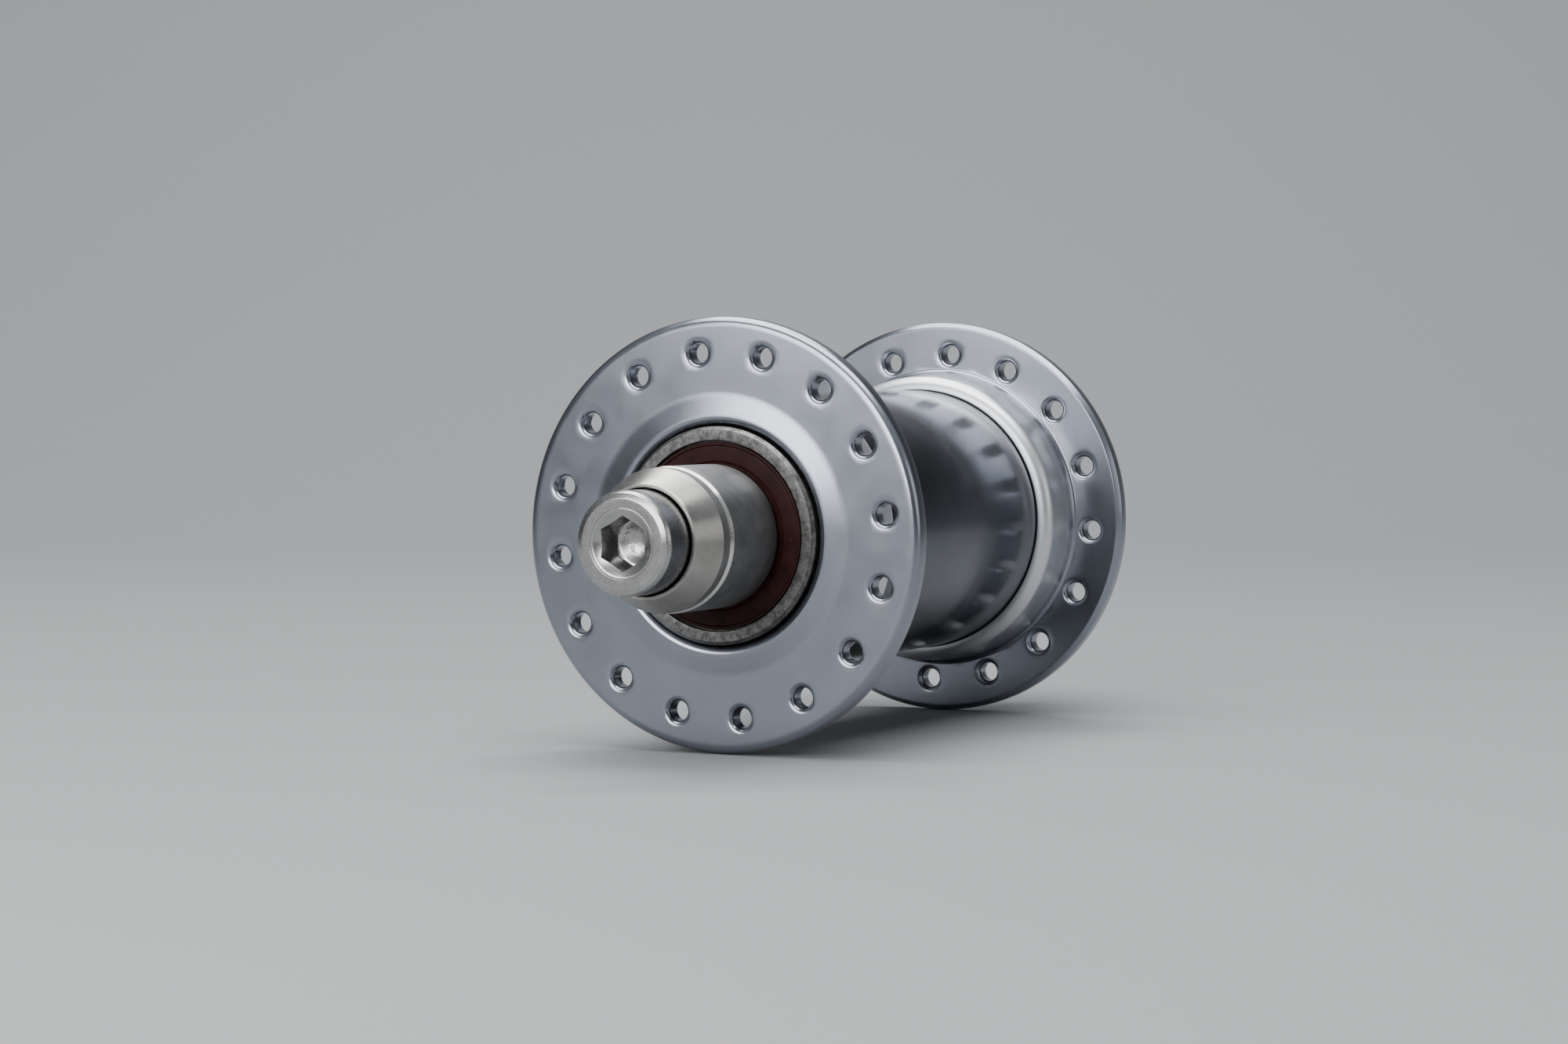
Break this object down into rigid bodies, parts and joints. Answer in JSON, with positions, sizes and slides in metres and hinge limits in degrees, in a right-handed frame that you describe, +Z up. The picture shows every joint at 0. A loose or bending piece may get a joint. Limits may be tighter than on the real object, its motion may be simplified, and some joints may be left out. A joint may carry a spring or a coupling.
{
  "type": "bicycle front hub",
  "caption": "Front wheel hub: drilled flanges on a polished barrel, sealed ball bearings, and an axle clamped by socket head bolts with conical washers.",
  "frame": {"origin": "the middle of the hub, on the axle's axis, half way between the fork ends", "axes": "+Y along the axle towards the right end, +X forward, +Z up with the wheel upright"},
  "size_m": [0.056, 0.1234, 0.056],
  "materials": {
    "satin_alloy": "satin blue-grey anodised aluminium",
    "polished_barrel": "mirror polished aluminium",
    "dark_steel": "oiled dark steel",
    "spacer_steel": "dark grey satin ground steel",
    "stainless": "fine turned warm stainless steel",
    "bolt_stainless": "bright cold-formed stainless steel",
    "bearing_steel": "ground bearing steel, mottled where exposed",
    "ball_steel": "polished ball steel",
    "seal_rubber": "dark red-brown matte rubber",
    "cage_nylon": "natural nylon"
  },
  "bodies": {
    "axle": {"axle": "dark_steel", "bearing_spacer_tube": "dark_steel", "left_bearing_inner_ring": "bearing_steel", "left_end_spacer": "spacer_steel", "right_bearing_inner_ring": "bearing_steel", "right_end_spacer": "spacer_steel"},
    "shell": {"hub_barrel": "polished_barrel", "left_flange": "satin_alloy", "left_bearing_outer_ring": "bearing_steel", "left_bearing_outer_seal": "seal_rubber", "left_bearing_inner_seal": "seal_rubber", "right_flange": "satin_alloy", "right_bearing_outer_ring": "bearing_steel", "right_bearing_outer_seal": "seal_rubber", "right_bearing_inner_seal": "seal_rubber"},
    "left_cage": {"left_bearing_cage": "cage_nylon", "left_bearing_ball_1": "ball_steel", "left_bearing_ball_2": "ball_steel", "left_bearing_ball_3": "ball_steel", "left_bearing_ball_4": "ball_steel", "left_bearing_ball_5": "ball_steel", "left_bearing_ball_6": "ball_steel", "left_bearing_ball_7": "ball_steel", "left_bearing_ball_8": "ball_steel"},
    "left_washer": {"left_fork_washer": "stainless"},
    "left_bolt": {"left_axle_bolt": "bolt_stainless"},
    "right_cage": {"right_bearing_cage": "cage_nylon", "right_bearing_ball_1": "ball_steel", "right_bearing_ball_2": "ball_steel", "right_bearing_ball_3": "ball_steel", "right_bearing_ball_4": "ball_steel", "right_bearing_ball_5": "ball_steel", "right_bearing_ball_6": "ball_steel", "right_bearing_ball_7": "ball_steel", "right_bearing_ball_8": "ball_steel"},
    "right_washer": {"right_fork_washer": "stainless"},
    "right_bolt": {"right_axle_bolt": "bolt_stainless"}
  },
  "joints": [
    {"name": "shell_spin", "type": "hinge", "parent": "axle", "child": "shell", "pos_m": [0, 0, 0], "axis": [0, 1, 0], "continuous": true},
    {"name": "left_cage_spin", "type": "hinge", "parent": "axle", "child": "left_cage", "pos_m": [0, -0.0331, 0], "axis": [0, 1, 0], "continuous": true},
    {"name": "right_cage_spin", "type": "hinge", "parent": "axle", "child": "right_cage", "pos_m": [0, 0.0331, 0], "axis": [0, 1, 0], "continuous": true},
    {"name": "left_bolt_out", "type": "slide", "parent": "axle", "child": "left_washer", "axis": [0, -1, 0], "range_m": [0, 0.0175]},
    {"name": "left_bolt_turn", "type": "hinge", "parent": "left_washer", "child": "left_bolt", "pos_m": [0, -0.05375, 0], "axis": [0, -1, 0], "range_deg": [0, 5040.01]},
    {"name": "right_bolt_out", "type": "slide", "parent": "axle", "child": "right_washer", "axis": [0, 1, 0], "range_m": [0, 0.0175]},
    {"name": "right_bolt_turn", "type": "hinge", "parent": "right_washer", "child": "right_bolt", "pos_m": [0, 0.05375, 0], "axis": [0, 1, 0], "range_deg": [0, 5040.01]}
  ],
  "couplings": [
    {"joint": "left_cage_spin", "follows": "shell_spin", "ratio": 0.61905},
    {"joint": "right_cage_spin", "follows": "shell_spin", "ratio": 0.61905},
    {"joint": "left_bolt_turn", "follows": "left_bolt_out", "rad_per_m": 5026.5},
    {"joint": "right_bolt_turn", "follows": "right_bolt_out", "rad_per_m": 5026.5}
  ]
}
